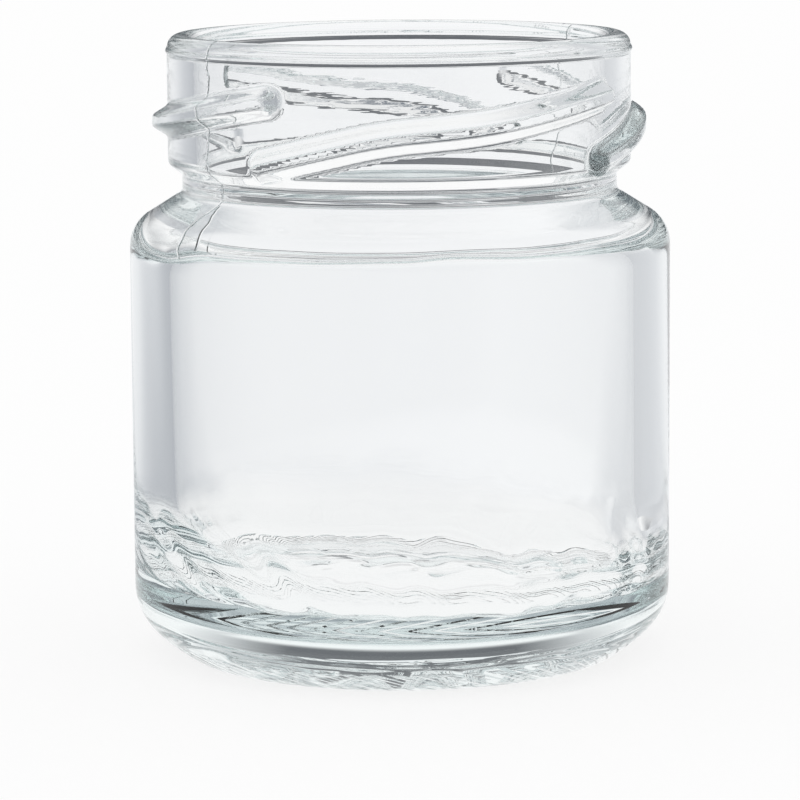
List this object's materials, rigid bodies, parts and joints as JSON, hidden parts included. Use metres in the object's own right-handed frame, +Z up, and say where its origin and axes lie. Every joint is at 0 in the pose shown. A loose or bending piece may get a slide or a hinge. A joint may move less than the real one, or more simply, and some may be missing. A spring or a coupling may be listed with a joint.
{
  "type": "preserving jar",
  "caption": "Small empty clear-glass preserving jar with a slanted-lug screw finish, sloping shoulder and rounded heel.",
  "frame": {"origin": "centre of the ring that the jar stands on", "axes": "+Z up along the jar's axis, from the base to the mouth; -Y is the front"},
  "size_m": [0.047, 0.047, 0.054],
  "materials": {
    "glass": "clear and polished, slightly wavy inside"
  },
  "bodies": {
    "root": {"jar": "glass"}
  },
  "joints": []
}
